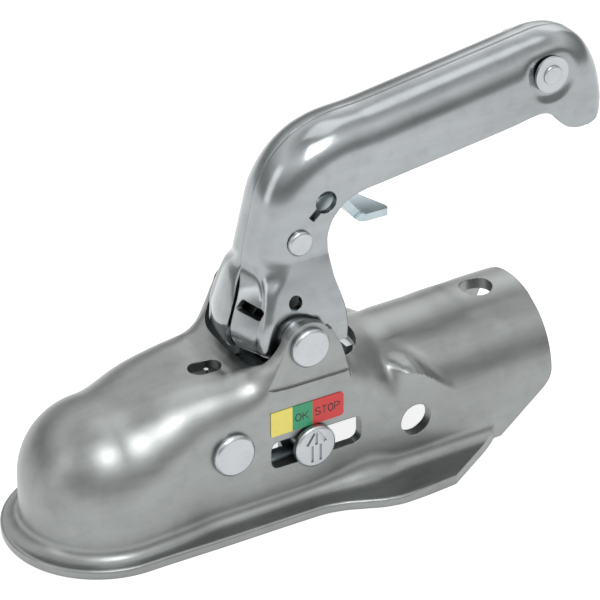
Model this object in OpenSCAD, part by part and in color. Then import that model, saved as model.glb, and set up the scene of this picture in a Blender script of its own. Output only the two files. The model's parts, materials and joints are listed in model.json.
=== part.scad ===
// Trailer coupling head for a 50 mm tow ball and a 50 mm round drawbar.
// Frame: origin at the ball centre, +X along the drawbar to the rear,
// +Y to the right, +Z up. Millimetres.

/* [Housing] */
// Radius of the tow ball
ball_r = 25; // [24.5:0.1:25.5]
// Clearance between ball and cup
ball_gap = 0.6; // [0.4:0.1:0.8]
// Sheet thickness of the housing
sheet = 4; // [3.8:0.1:4.2]
// Height of the ball centre above the rim's lower face
rim_drop = 21.5; // [21:0.5:22.5]
// Rear end of the drawbar socket
rear_x = 180.4; // [176:0.2:184]
// Bore radius of the drawbar socket
socket_r = 25.05; // [25.02:0.01:25.1]
// Radius of the two bolt holes
bolt_r = 6.5; // [6.2:0.1:7]
// Distance of the cross bolt from the ball centre
cross_x = 118.8; // [116:0.2:121]
// Distance of the top bolt from the ball centre
top_x = 163.8; // [160:0.2:167]

/* [Lever] */
// Distance of the lever pivot behind the ball centre
pivot_x = 73; // [72.5:0.1:73.5]
// Height of the lever pivot above the ball centre
pivot_z = 45.8; // [45.5:0.1:46.2]
// Half width of the grip
grip_hw = 15; // [14.5:0.1:15.5]
// Half width of the lever between the ears
fork_hw = 20.5; // [20.2:0.1:20.7]
// Sheet thickness of the lever halves
lever_t = 2.5; // [2.2:0.1:2.8]

/* [Pins] */
// Shank radius of the pivot pin and of the jaw pin
pin_r = 6; // [5.8:0.1:6.2]
// Radial running clearance on the pins
run_gap = 0.06; // [0.04:0.01:0.08]
// Shank radius of the indicator pin
ind_r = 5; // [4.6:0.1:5.2]

/* [Hidden] */
e = 0.01;
zinc = [0.78, 0.80, 0.80];
steel = [0.70, 0.72, 0.74];

// jaw pin and indicator pin centres
jaw_x = 40;  jaw_z = 10.9;
ind_x = 73.6; ind_z = 4.3;
// lever rivet and tip rivet centres
riv_x = 76.6; riv_z = 82;
tip_x = 186; tip_z = 121;
// indicator slot
slot_x0 = 56.2; slot_x1 = 95.1; slot_z = 4.05; slot_r = 5.75;
// half width inside the walls beside the jaw
wall_in = 24.4;
ear_out = 27.5; ear_in = 23.6;

// ---- housing sheet: section values along the drawbar axis ----
// outer half width of the walls
tab_w = [[0, 30.6], [10, 30.3], [22, 29.4], [30, 28.4], [95, 28.4], [103, 28.4], [107, 29], [rear_x, 29]];
// height of the roof
tab_T = [[0, 30.6], [5, 31.1], [10, 32.2], [16, 33.8], [22, 35], [28, 35.8], [36, 36.2], [44, 36.3], [52, 36.3], [54, 36.7], [56, 38.2], [57, 39.8], [58, 41.5], [59, 42.9], [60, 44.1],
         [61, 45.2], [62, 46.5], [63.2, 48.3], [64.6, 51.5], [66, 66], [81, 66], [82.6, 52], [84, 48.8], [85.6, 46], [86.8, 44], [88, 41.4], [89.5, 38.2], [91, 36.4],
         [95, 35.8], [99, 34.9], [103, 33.4], [107, 31.7], [111, 30.3], [116, 29.3], [120, 29], [140, 29.1], [150, 29.7], [158, 30], [rear_x, 30]];
// shoulder radius between roof and wall
tab_rc = [[0, 30.1], [5, 28.4], [10, 26.6], [16, 24], [22, 21.6], [28, 19.4], [36, 17], [44, 15.4], [52, 14.4], [54, 14], [56, 12], [58, 9.4], [60, 6.8], [62, 5.2],
          [84, 5.2], [86.8, 6.4], [89.5, 11], [91, 14],
          [95, 15.5], [99, 18], [103, 21.5], [107, 24.8], [111, 27], [116, 28.3], [120, 28.5], [rear_x, 28.5]];
// radius of the hollow between wall and rim
tab_rf = [[0, 5], [72, 5], [84, 6.5], [98, 9], [104, 8], [110, 6], [116, 5.5], [rear_x, 5.5]];
// outer edge of the rim
tab_f = [[0, 37.6], [30, 38.2], [72, 38.8], [80, 40.4], [88, 43.6], [96, 46.8], [104, 48.2], [126, 48.2], [rear_x, 48.2]];
// sheet thickness
tab_t = [[0, 5.05], [16, 4.9], [24, 4.6], [34, 4], [98, 4], [104, 4.5], [rear_x, 4.5]];

xs = [rear_x, 166, 158, 150, 140, 130, 120, 116, 111, 107, 103, 99, 95, 91, 89.5, 88, 86.8, 85.6, 84, 82.6, 81, 66, 64.6, 63.2, 62, 61, 60, 59, 58, 57, 56, 54, 52, 44, 36, 30, 28, 22, 16, 10, 5, 0];
NA = 12;                      // angular steps round the nose
NB = 7;                       // steps on the shoulder arc
NFL = 4;                      // steps on the rim hollow
NS = len(xs);
NU = 2*NS + NA - 1;           // stations from left rear round the nose to right rear
NP = 1 + NB + 1 + NFL + 1;    // points from beside the centre line to the rim edge

// outer (s = 0) or inner (s = 1) section point j at distance x
function sec(x, j, s) =
    let (w = lookup(x, tab_w), T = lookup(x, tab_T), rc = lookup(x, tab_rc), rf = lookup(x, tab_rf),
         f = lookup(x, tab_f), t = s*lookup(x, tab_t), tz = s*sheet, zf = -rim_drop + sheet + rf)
    j <= 1 + NB ?
        let (a = 90 - 90*(j - 1)/NB) [w - rc + (rc - t)*cos(a), T - rc + (rc - t)*sin(a)]
    : j <= 2 + NB + NFL ?
        let (a = 180 + 90*(j - 2 - NB)/NFL) [w + rf + (rf + tz + (t - tz)*(1 + cos(a*2 - 360))/2)*cos(a), zf + (rf + tz)*sin(a)]
    : [f, -rim_drop + sheet - tz];
// station u of the sheet: position of its section
function rim_pt(u, j, s) =
    u < NS ? let (x = xs[u], p = sec(x, j, s)) [x, -p[0], p[1]]
    : u < NS + NA - 1 ? let (a = 270 - 180*(u - NS + 1)/NA, p = sec(0, j, s)) [p[0]*cos(a), p[0]*sin(a), p[1]]
    : let (x = xs[NU - 1 - u], p = sec(x, j, s)) [x, p[0], p[1]];
function mid_pt(k, s) = [xs[k], 0, lookup(xs[k], tab_T) - s*lookup(xs[k], tab_t)];
// the centre-line vertex beside station u
function mid_ix(u) = u < NS ? u : u < NS + NA - 1 ? NS - 1 : NU - 1 - u;

module housing_sheet() {
    n1 = NU*NP; n2 = n1 + NS;
    pts = [for (s = [0, 1]) each concat([for (u = [0:NU - 1]) for (j = [1:NP]) rim_pt(u, j, s)], [for (k = [0:NS - 1]) mid_pt(k, s)])];
    function ix(u, j, s) = s*n2 + u*NP + j - 1;
    function cx(u, s) = s*n2 + n1 + mid_ix(u);
    top = [for (u = [0:NU - 2]) each concat(
        [cx(u, 0) == cx(u + 1, 0) ? [cx(u, 0), ix(u + 1, 1, 0), ix(u, 1, 0)] : [cx(u, 0), cx(u + 1, 0), ix(u + 1, 1, 0), ix(u, 1, 0)]],
        [for (j = [1:NP - 1]) [ix(u, j, 0), ix(u + 1, j, 0), ix(u + 1, j + 1, 0), ix(u, j + 1, 0)]])];
    low = [for (u = [0:NU - 2]) each concat(
        [cx(u, 1) == cx(u + 1, 1) ? [cx(u, 1), ix(u, 1, 1), ix(u + 1, 1, 1)] : [cx(u, 1), ix(u, 1, 1), ix(u + 1, 1, 1), cx(u + 1, 1)]],
        [for (j = [1:NP - 1]) [ix(u, j, 1), ix(u, j + 1, 1), ix(u + 1, j + 1, 1), ix(u + 1, j, 1)]])];
    rim = [for (u = [0:NU - 2]) [ix(u, NP, 0), ix(u + 1, NP, 0), ix(u + 1, NP, 1), ix(u, NP, 1)]];
    endl = concat([[cx(0, 0), ix(0, 1, 0), ix(0, 1, 1), cx(0, 1)]],
        [for (j = [1:NP - 1]) [ix(0, j, 0), ix(0, j + 1, 0), ix(0, j + 1, 1), ix(0, j, 1)]]);
    v = NU - 1;
    endr = concat([[cx(v, 0), cx(v, 1), ix(v, 1, 1), ix(v, 1, 0)]],
        [for (j = [1:NP - 1]) [ix(v, j, 0), ix(v, j, 1), ix(v, j + 1, 1), ix(v, j + 1, 0)]]);
    polyhedron(pts, [for (q = concat(top, low, rim, endl, endr)) [for (i = [len(q) - 1:-1:0]) q[i]]], convexity = 8);
}
// a plate standing along X, its outline drawn in X and Z, from y0 to y1
module xz(y0, y1) translate([0, y1, 0]) rotate([90, 0, 0]) linear_extrude(y1 - y0) children();
// a round bar along Y
module ybar(x, z, r, y0, y1) translate([x, y0, z]) rotate([-90, 0, 0]) cylinder(r = r, h = y1 - y0, $fn = 64);
module ytube(x, z, ro, ri, y0, y1) difference() { ybar(x, z, ro, y0, y1); ybar(x, z, ri, y0 - 1, y1 + 1); }

module housing() color(zinc) difference() {
    union() {
        difference() {
            housing_sheet();
            // opening for the lever
            translate([0, 0, 24]) linear_extrude(50) polygon([[54.2, -12], [54.6, -15.5], [55.5, -18.8], [57.2, -21.6], [60.4, -ear_in],
                [88.5, -ear_in], [92.8, -22.2], [96.6, -20.2], [100, -16.6], [102.6, -11.6], [104.2, -6], [104.6, 0], [104.2, 6], [102.6, 11.6], [100, 16.6], [96.6, 20.2], [92.8, 22.2], [88.5, ear_in],
                [60.4, ear_in], [57.2, 21.6], [55.5, 18.8], [54.6, 15.5], [54.2, 12]]);
            // rounded tops of the ears
            xz(-60, 60) difference() {
                polygon([[62, pivot_z + 4.6], [62, 90], [88, 90], [88, pivot_z + 4.6]]);
                translate([pivot_x, pivot_z]) circle(r = 9.8, $fn = 96);
            }
        }
    }
    // spherical cup for the ball
    sphere(r = ball_r + ball_gap, $fn = 96);
    // drawbar socket
    translate([103, 0, 0]) rotate([0, 90, 0]) cylinder(r = socket_r, h = 90, $fn = 96);
    // bolt holes
    ybar(cross_x, 0, bolt_r, -60, 60);
    translate([top_x, 0, 15]) cylinder(r = bolt_r, h = 30, $fn = 64);
    // pressed step under the ears
    for (m = [0, 1]) mirror([0, m, 0]) translate([56.5, ear_out, 31]) cube([34.5, 10, 40]);
    // holes of the pivot pin and the jaw pin
    ybar(pivot_x, pivot_z, pin_r + 0.02, -60, 60);
    ybar(jaw_x, jaw_z, pin_r + 0.02, -60, 60);
    // indicator slots
    xz(-60, 60) union() {
        for (x = [slot_x0 + 3.6, slot_x1 - 3.6]) for (z = [slot_z - slot_r + 3.6, slot_z + slot_r - 3.6]) translate([x, z]) circle(r = 3.6, $fn = 32);
        translate([slot_x0 + 3.6, slot_z - slot_r]) square([slot_x1 - slot_x0 - 7.2, 2*slot_r]);
        translate([slot_x0, slot_z - slot_r + 3.6]) square([slot_x1 - slot_x0, 2*slot_r - 7.2]);
    }
    // slot on top of the nose
    translate([0, 0, 20]) linear_extrude(30) union() {
        translate([39.2, -6.2]) circle(r = 4.6, $fn = 32);
        translate([43, -6.2]) circle(r = 4.6, $fn = 32);
        translate([39.2, -10.8]) square([3.8, 9.2]);
    }
    // raked rear end of the side walls
    xz(-60, 60) polygon([[rear_x + 5, -40], [rear_x + 5, 3], [rear_x, 2.5], [rear_x - 0.6, -0.4], [rear_x - 2.4, -3.2], [rear_x - 5.4, -5.9], [155.9, -21.3], [152, -24.4], [152, -40]]);
    // trimmed corners of the rim
    for (m = [0, 1]) mirror([0, m, 0]) translate([0, 0, -30]) linear_extrude(24) polygon([[126, 46.4], [127, 60], [200, 60], [200, 29.1], [154.5, 29.1]]);
    for (m = [0, 1]) mirror([0, m, 0]) translate([0, 0, -30]) linear_extrude(14) polygon([[104, 48.2], [126, 46.4], [127, 60], [104, 60]]);
}

// ---- lever halves: outer line O and free edge I in X and Z, with corner radius, half width and gap ----
//          O.x   O.z    I.x   I.z   r     hw       gap
lev = [
    [56.5, 39.5,  94,   39.5, 11,  fork_hw, 8],
    [53.6, 44,    94.2, 44,   12,  fork_hw, 7],
    [53.2, 49,    93.8, 49,   13,  fork_hw, 6.2],
    [54.4, 54,    92.9, 54,   13,  fork_hw, 5.8],
    [56, 60,      91.4, 60,   12.5, 19.2, 5.2],
    [57.8, 65,    90.1, 65,   12.3, 17.9, 3.6],
    [60.3, 69.6,  89.4, 70,   12,  16.7, 0],
    [61, 76,      89,   75.5, 12,  grip_hw, 0],
    [62.2, 82,    88.9, 81,   12,  grip_hw, 0],
    [63.6, 88.2,  90.2, 85.4, 12.4, grip_hw, 0],
    [67.1, 101.3, 93,   89.6, 13.5, grip_hw, 0],
    [74,   111.9, 96.2, 92.7, 14.4, grip_hw, 0],
    [84.2, 119.4, 99.8, 94.5, 14.4, grip_hw, 0],
    [92,   122,   103.4, 95.5, 14.2, grip_hw, 0],
    [110.3, 123.9, 113, 96.7, 14,  grip_hw, 0],
    [138.2, 127.7, 141, 100.2, 14, grip_hw, 0],
    [165,  131.4, 168,  103.7, 14, grip_hw, 0],
    [180,  133.5, 182,  105.7, 14, grip_hw, 0],
    [189.4, 134.4, 186.3, 104.2, 14, grip_hw, 0],
    [197.5, 133, 189,   101.4, 14, grip_hw, 0],
    [204.6, 128.6, 191.4, 99.1, 13, grip_hw, 0],
    [209,  121.4, 193.6, 97.4, 12, grip_hw, 0],
    [211.1, 112.4, 196, 96.3, 10, grip_hw, 0],
    [211.4, 104.4, 198.8, 95.7, 8, grip_hw, 0],
    [208.9, 98.4, 202.6, 95.9, 4.2, grip_hw, 0]];
NL = len(lev); NK = 6;
// lowest rows of the right half: its front wall reaches past the middle, behind the left half's edge
far_row = [58.6, 36.2, 94, 39.5, 11, fork_hw];
far_gap = [1, -1.5, -4.5, -4.6, -4.2, -2.2];
function lev_pt(v, j, s, gap) =
    let (O = [v[0], v[1]], I = [v[2], v[3]], L = norm(I - O), d = (I - O)/L, t = s*lever_t,
         r = max(v[4] - t, 0.4), hw = v[5] - t, rr = v[4])
    j == 0 ? let (p = O + d*t) [p[0], -gap, p[1]]
    : j <= NK + 1 ? let (a = 90*(j - 1)/NK, dep = rr - r*cos(a), p = O + d*dep) [p[0], -(hw - r) - r*sin(a), p[1]]
    : [I[0], -hw, I[1]];
module half_sheet(far) {
    function gp(i) = far && i < len(far_gap) ? far_gap[i] : lev[i][6];
    n = NK + 3;
    pts = [for (s = [0, 1]) for (i = [0:NL - 1]) for (j = [0:n - 1]) lev_pt(far && i == 0 ? far_row : lev[i], j, s, gp(i))];
    function ix(i, j, s) = (s*NL + i)*n + j;
    polyhedron(pts, concat(
        [for (i = [0:NL - 2]) for (j = [0:n - 2]) [ix(i, j, 0), ix(i + 1, j, 0), ix(i + 1, j + 1, 0), ix(i, j + 1, 0)]],
        [for (i = [0:NL - 2]) for (j = [0:n - 2]) [ix(i, j, 1), ix(i, j + 1, 1), ix(i + 1, j + 1, 1), ix(i + 1, j, 1)]],
        [for (i = [0:NL - 2]) [ix(i, 0, 0), ix(i, 0, 1), ix(i + 1, 0, 1), ix(i + 1, 0, 0)]],
        [for (i = [0:NL - 2]) [ix(i, n - 1, 0), ix(i + 1, n - 1, 0), ix(i + 1, n - 1, 1), ix(i, n - 1, 1)]],
        [for (j = [0:n - 2]) [ix(0, j, 0), ix(0, j + 1, 0), ix(0, j + 1, 1), ix(0, j, 1)]],
        [for (j = [0:n - 2]) [ix(NL - 1, j, 0), ix(NL - 1, j, 1), ix(NL - 1, j + 1, 1), ix(NL - 1, j + 1, 0)]]), convexity = 8);
}
module lever_half(far) difference() {
    union() {
        half_sheet(far);
        // round foot of the cheek, beside the pivot
        xz(-fork_hw, -fork_hw + lever_t) intersection() {
            translate([pivot_x, pivot_z]) circle(r = 17, $fn = 96);
            translate([63, 20]) square([28, 22]);
        }
    }
    ybar(pivot_x, pivot_z, pin_r + run_gap, -40, 0);
    ybar(riv_x, riv_z, 4.05, -40, 0);
    ybar(tip_x, tip_z, 3.3, -40, 0);
    // seat of the ring washer in the grip's end
    ybar(tip_x, tip_z, 8.6, -grip_hw - 1, -grip_hw + 1.5);
    // keyhole
    ybar(88, 95.4, 4, -40, 0);
    translate([88, 0, 95.4]) rotate([0, 139, 0]) translate([0, -40, -1.3]) cube([8.2, 40, 2.6]);
    ybar(72.4, 60, 2.8, -40, 0);
    // slot across the front wall of the left half
    if (!far) translate([50, -12.2, 58]) rotate([16, 0, 0]) translate([0, -4.7, -2.1]) cube([14, 9.4, 4.2]);
}
module lever_left() color(zinc) lever_half(false);
module lever_right() color(zinc) mirror([0, 1, 0]) lever_half(true);

// ---- pins, rivets, bushes ----
module pivot_pin() color(steel) {
    ybar(pivot_x, pivot_z, pin_r, -ear_out - 1, ear_out + 1.6);
    ybar(pivot_x, pivot_z, 7.8, -ear_out - 2.4, -ear_out);
}
module jaw_pin() color(steel) {
    ybar(jaw_x, jaw_z, pin_r, -29, 31.6);
    ybar(jaw_x, jaw_z, 8.5, -31, -28.42);
}
module pin_rings() color(steel) {
    ytube(pivot_x, pivot_z, 7.4, pin_r + 0.01, ear_out, ear_out + 1);
    ytube(jaw_x, jaw_z, 8.6, pin_r + 0.01, 28.42, 30.6);
}
module pivot_washers() color(steel) for (m = [0, 1]) mirror([0, m, 0])
    ytube(pivot_x, pivot_z, 8.2, pin_r + 0.02, fork_hw + 0.1, 24.3);
module pivot_bush() color([0.72, 0.58, 0.3]) ytube(pivot_x, pivot_z, 8.8, pin_r + run_gap, -fork_hw + lever_t, fork_hw - lever_t);
module lever_rivet() color(steel) {
    ybar(riv_x, riv_z, 4, -grip_hw - 1, grip_hw + 1);
    for (m = [0, 1]) mirror([0, m, 0]) ybar(riv_x, riv_z, 5, grip_hw, grip_hw + 1.8);
}
module neck_spacer() color(steel) difference() {
    union() {
        ybar(riv_x, riv_z, 6, -11.4, 11.4);
        ybar(riv_x, riv_z, 4.8, -12.1, 12.1);
    }
    ybar(riv_x, riv_z, 4.02, -20, 20);
}
module tip_rivet() color(steel) {
    ybar(tip_x, tip_z, 3.25, -grip_hw - 0.4, grip_hw + 0.4);
    for (m = [0, 1]) mirror([0, m, 0]) ybar(tip_x, tip_z, 3.9, grip_hw - 0.2, grip_hw + 0.6);
}
module tip_washers() color(steel) for (m = [0, 1]) mirror([0, m, 0])
    ytube(tip_x, tip_z, 7.2, 3.27, grip_hw - 1.5, grip_hw - 0.2);
module tip_spacer() color(steel) ytube(tip_x, tip_z, 4.6, 3.3, -10.9, 10.9);
// cam between the cheeks; its nose drives the slide block
module cam_plate() color(steel) difference() {
    union() {
        ybar(pivot_x, pivot_z, 13.5, -7, 7);
        ybar(pivot_x, pivot_z - 19.5, 5, -7, 7);
        translate([pivot_x - 2.5, -7, pivot_z - 19.5]) cube([5, 14, 12]);
        // web up the neck
        xz(-7, 7) polygon([[63, 45], [64.5, 64], [72, 69], [82.4, 67], [84, 45]]);
    }
    ybar(pivot_x, pivot_z, 8.82, -20, 20);
}

// ---- safety catch ----
module safety_catch() color([0.66, 0.72, 0.74]) difference() {
    union() {
        // side lugs round the neck spacer, each with an arm down the neck
        for (m = [0, 1]) mirror([0, m, 0]) xz(7.4, 9.7) union() {
            translate([riv_x, riv_z]) circle(r = 8.3, $fn = 48);
            polygon([[riv_x - 2, riv_z + 8], [86, 94.5], [94, 95.8], [96.6, 93], [93, 90.2], [89.6, 86], [87.6, 80], [riv_x + 6, riv_z - 5.7]]);
            polygon([[78, 76], [83.5, 78], [88.4, 64], [88.4, 58], [85, 58], [83.6, 64]]);
        }
        // trigger plate: the bent root, then the level end
        xz(-11.8, 11.8) polygon([[92.8, 95], [94.6, 92.6], [99.7, 86.3], [102, 83.2], [103.6, 82], [105, 81.6], [105, 84.6], [103.9, 86], [99.4, 91.6], [96, 95.9], [93.6, 95.9]]);
        difference() {
            xz(-13, 13) polygon([[101.6, 83.7], [103.2, 82.2], [105.6, 81.5], [117, 81.3], [117, 84.3], [106, 84.5], [104.4, 85.4]]);
            translate([0, 0, 70]) linear_extrude(30) polygon([[116.2, -11.6], [115.2, -13.4], [130, -14], [130, 20], [100, 20], [100, 12.6], [106.5, 12.8], [108.6, 11.2], [115.9, -10]]);
        }
    }
    ybar(riv_x, riv_z, 6 + run_gap, -20, 20);
}

// ---- springs: round wire swept along a function ----
function unit(v) = v/norm(v);
module wire(path, r, n = 8, up = [0.013, 0.999, 0.03]) {
    N = len(path);
    tang = [for (i = [0:N - 1]) unit(path[min(i + 1, N - 1)] - path[max(i - 1, 0)])];
    side = [for (i = 0, a = unit(cross(tang[0], up)); i < N; i = i + 1, a = i < N ? unit(a - (a*tang[i])*tang[i]) : a) a];
    pts = [for (i = [0:N - 1]) let (b = cross(tang[i], side[i])) for (k = [0:n - 1]) path[i] + r*(cos(360*k/n)*side[i] + sin(360*k/n)*b)];
    polyhedron(pts, concat([[for (k = [0:n - 1]) k]], [[for (k = [n - 1:-1:0]) (N - 1)*n + k]],
        [for (i = [0:N - 2]) for (k = [0:n - 1]) [i*n + k, (i + 1)*n + k, (i + 1)*n + (k + 1)%n, i*n + (k + 1)%n]]), convexity = 10);
}
// pressure spring behind the slide block, axis along X
ps_x0 = 84.2; ps_x1 = 98.2; ps_z = 15; ps_turns = 5;
module pressure_spring() color(steel) wire([for (i = [0:16*ps_turns]) let (u = i/(16*ps_turns), a = 360*ps_turns*u)
    [ps_x0 + 1 + (ps_x1 - ps_x0 - 2)*u, 6*cos(a), ps_z + 6*sin(a)]], 0.95, 8, [1, 0, 0.01]);
// torsion spring round the neck spacer
module catch_spring() color(steel) wire(concat(
    [[89.5, -6.4, 90.3], [84, -6.4, 88.9]],
    [for (i = [0:44]) let (a = 70 + 360*3.05*i/44) [riv_x + 7.4*cos(a), -6.4 + 6.2*i/44, riv_z + 7.4*sin(a)]],
    [[70, -0.2, 97]]), 0.7, 8);
// torsion spring on the jaw pin; the long leg stands in the slot of the nose
module jaw_spring() color(steel) wire(concat(
    [[41.4, -7, 35.6], [41.4, -7, 33.6], [41.5, -7.3, 30], [41.8, -8.8, 28.4], [43, -12, 27.4], [46, -18, 26], [49, -21.6, 23.6], [49.8, -22.4, 19]],
    [for (i = [0:30]) let (a = 28 - 360*1.4*i/30) [jaw_x + 10*cos(a), -22.6 + 1.2*i/30, jaw_z + 10*sin(a)]]), 0.9, 8);

// ---- slide ----
module slide_block() color(steel) difference() {
    translate([62.5, -9, -1]) cube([21.5, 18, 32.6]);
    // groove for the cam's nose
    translate([pivot_x - 5.4, -10, pivot_z - 19.5 - 6.2]) cube([10.8, 20, 30]);
    ybar(ind_x, ind_z, ind_r + 0.02, -20, 20);
    translate([60, -20, 27]) cube([4.5, 40, 20]);
}
module slide_rods() color(steel) {
    for (m = [0, 1]) mirror([0, m, 0]) {
        translate([57.4, 18, -5.2]) rotate([0, 90, 0]) cylinder(r = 4, h = 21, $fn = 48);
        // eye on the indicator pin
        difference() {
            xz(14.5, 18) union() {
                translate([ind_x, ind_z]) circle(r = 8, $fn = 48);
                translate([67, -8]) square([11.5, 9]);
            }
            ybar(ind_x, ind_z, ind_r + 0.02, 0, 30);
        }
    }
}
module indicator_pin() color(steel) difference() {
    union() {
        ybar(ind_x, ind_z, ind_r, -30, 31.5);
        ybar(ind_x, ind_z, 8.5, -31.6, -29.1);
    }
    // arrow cut in the head
    translate([0, -31.1, 0]) rotate([90, 0, 0]) linear_extrude(2) translate([ind_x, ind_z]) {
        polygon([[-0.4, 1], [0.4, 1], [0.4, 6.8], [3.4, 1.6], [4.2, 2.1], [0.3, 8.6], [-0.3, 8.6], [-4.2, 2.1], [-3.4, 1.6], [-0.4, 6.8]]);
        translate([-2, -6]) square([0.8, 7]);
        translate([1.2, -6]) square([0.8, 7]);
    }
}
module indicator_clip() color(steel) ytube(ind_x, ind_z, 8.4, ind_r + 0.01, 29.1, 30.8);
module spring_plate() color(steel) translate([98.4, 0, 0]) difference() {
    union() {
        translate([0, -24.2, 2.5]) cube([2.8, 48.4, 22.4]);
        translate([0, -12, 20]) cube([2.8, 24, 9.8]);
    }
    for (m = [0, 1]) mirror([0, m, 0]) translate([-1, 24.4, 25.6]) rotate([0, 90, 0]) cylinder(r = 9, h = 6, $fn = 48);
}

// ---- jaw ----
module jaw() color([0.45, 0.46, 0.47]) difference() {
    union() {
        xz(-19.6, 19.6) polygon([[26.4, -18.6], [26.4, 4], [29.5, 13], [34, 19.2], [40, 21.4], [46.2, 19], [50, 12.5], [50.2, -1.5], [50.2, -9], [45, -11], [38, -16.5], [32, -18.6]]);
    }
    // groove that grips the ball
    translate([3.2, 0, -8.1]) sphere(r = 25.8, $fn = 96);
    sphere(r = 26.6, $fn = 96);
    ybar(jaw_x, jaw_z, 8.52, -30, 30);
    // relief for the block between the rear lugs
    translate([44, -12, -25]) cube([20, 24, 33]);
    translate([38, -30, 20.2]) cube([20, 60, 20]);
}
module jaw_bush() color([0.72, 0.58, 0.3]) ytube(jaw_x, jaw_z, 8.5, pin_r + run_gap, -19.6, 19.6);

// ---- label: three fields ----
module position_label() {
    for (f = [[56, 9, [0.86, 0.8, 0.25]], [65, 8.6, [0.1, 0.55, 0.35]], [73.6, 13.4, [0.8, 0.15, 0.12]]])
        color(f[2]) translate([f[0], -28.75, 12.7]) cube([f[1], 0.35, 10.2]);
}

housing();
pivot_pin();
jaw_pin();
pin_rings();
pivot_washers();
position_label();
spring_plate();
jaw_spring();
lever_left();
lever_right();
lever_rivet();
neck_spacer();
tip_rivet();
tip_washers();
tip_spacer();
pivot_bush();
cam_plate();
safety_catch();
catch_spring();
slide_block();
slide_rods();
indicator_pin();
indicator_clip();
pressure_spring();
jaw();
jaw_bush();
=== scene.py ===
import bpy, bmesh, json, math
import numpy as np
from mathutils import Vector, Matrix


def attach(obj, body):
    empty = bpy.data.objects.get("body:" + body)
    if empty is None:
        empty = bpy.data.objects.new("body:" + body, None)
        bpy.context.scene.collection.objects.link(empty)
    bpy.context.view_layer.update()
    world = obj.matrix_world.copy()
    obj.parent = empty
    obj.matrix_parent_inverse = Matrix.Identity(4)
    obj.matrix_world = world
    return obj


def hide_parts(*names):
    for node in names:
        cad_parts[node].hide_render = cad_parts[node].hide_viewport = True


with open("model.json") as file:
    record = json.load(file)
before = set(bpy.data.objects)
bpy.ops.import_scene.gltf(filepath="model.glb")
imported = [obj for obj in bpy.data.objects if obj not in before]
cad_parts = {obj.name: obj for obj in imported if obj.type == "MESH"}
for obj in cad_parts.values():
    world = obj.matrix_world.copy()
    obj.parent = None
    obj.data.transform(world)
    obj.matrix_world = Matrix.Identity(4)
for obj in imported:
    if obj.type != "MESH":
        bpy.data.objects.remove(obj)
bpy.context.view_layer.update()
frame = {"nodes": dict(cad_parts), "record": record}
MM = 0.001
scene = bpy.context.scene

# ------------------------------------------------------------------ camera
AZ, EL, ROLL, DIST = math.radians(-30.69), math.radians(30.4466), math.radians(-0.3193), 1.28093
TARGET = Vector((0.085596, 0.0, 0.047793))
back = Vector((math.sin(AZ)*math.cos(EL), -math.cos(AZ)*math.cos(EL), math.sin(EL)))
right = Vector((math.cos(AZ), math.sin(AZ), 0.0))
up = back.cross(right)
R = right*math.cos(ROLL) + up*math.sin(ROLL)
U = -right*math.sin(ROLL) + up*math.cos(ROLL)
cam_data = bpy.data.cameras.new("camera")
cam = bpy.data.objects.new("camera", cam_data)
scene.collection.objects.link(cam)
m = Matrix((R, U, back)).transposed().to_4x4()
m.translation = TARGET + back*DIST
cam.matrix_world = m
cam_data.sensor_width = 36.0
cam_data.sensor_fit = "HORIZONTAL"
cam_data.lens = 3455.12/600*36.0
cam_data.clip_start, cam_data.clip_end = 0.05, 30
scene.camera = cam

# ------------------------------------------------------------------ mesh helpers
def obj_from(name, verts, faces, smooth=True):
    me = bpy.data.meshes.new(name)
    me.from_pydata([tuple(v) for v in verts], [], faces)
    me.update()
    o = bpy.data.objects.new(name, me)
    scene.collection.objects.link(o)
    return o


def clean(o, dist=1e-6):
    bm = bmesh.new()
    bm.from_mesh(o.data)
    bmesh.ops.remove_doubles(bm, verts=bm.verts, dist=dist)
    bmesh.ops.recalc_face_normals(bm, faces=bm.faces)
    bm.to_mesh(o.data)
    bm.free()


def shade(o, angle=32):
    """Smooth faces, sharp edges where two faces meet at more than the angle."""
    bm = bmesh.new()
    bm.from_mesh(o.data)
    lim = math.radians(angle)
    for f in bm.faces:
        f.smooth = True
    for e in bm.edges:
        e.smooth = not (len(e.link_faces) == 2 and e.calc_face_angle(0.0) > lim)
    bm.to_mesh(o.data)
    bm.free()


def bake(o):
    """Applies the object's modifiers."""
    dg = bpy.context.evaluated_depsgraph_get()
    me = bpy.data.meshes.new_from_object(o.evaluated_get(dg))
    o.modifiers.clear()
    old = o.data
    o.data = me
    bpy.data.meshes.remove(old)


def boolean(o, cutters, op="DIFFERENCE"):
    for c in cutters:
        md = o.modifiers.new("b", "BOOLEAN")
        md.operation = op
        md.solver = "EXACT"
        md.object = c
        bake(o)
        bpy.data.objects.remove(c)


def prism(name, poly, axis, lo, hi):
    """A closed prism: poly in the plane across the axis ('y': x,z; 'z': x,y; 'x': y,z)."""
    n = len(poly)
    def pt(p, h):
        if axis == "y":
            return (p[0]*MM, h*MM, p[1]*MM)
        if axis == "z":
            return (p[0]*MM, p[1]*MM, h*MM)
        return (h*MM, p[0]*MM, p[1]*MM)
    v = [pt(p, lo) for p in poly] + [pt(p, hi) for p in poly]
    f = [list(range(n)), list(range(2*n - 1, n - 1, -1))]
    f += [[i, (i + 1) % n, n + (i + 1) % n, n + i] for i in range(n)]
    o = obj_from(name, v, f)
    clean(o)
    return o


def circle(cx, cz, r, n=64, a0=0.0, a1=360.0):
    full = abs(a1 - a0 - 360) < 1e-6
    m = n if full else n + 1
    return [(cx + r*math.cos(math.radians(a0 + (a1 - a0)*i/n)), cz + r*math.sin(math.radians(a0 + (a1 - a0)*i/n))) for i in range(m)]


def slot_poly(x0, x1, z, r, n=24):
    return circle(x1 - r, z, r, n, -90, 90) + circle(x0 + r, z, r, n, 90, 270)


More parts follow.
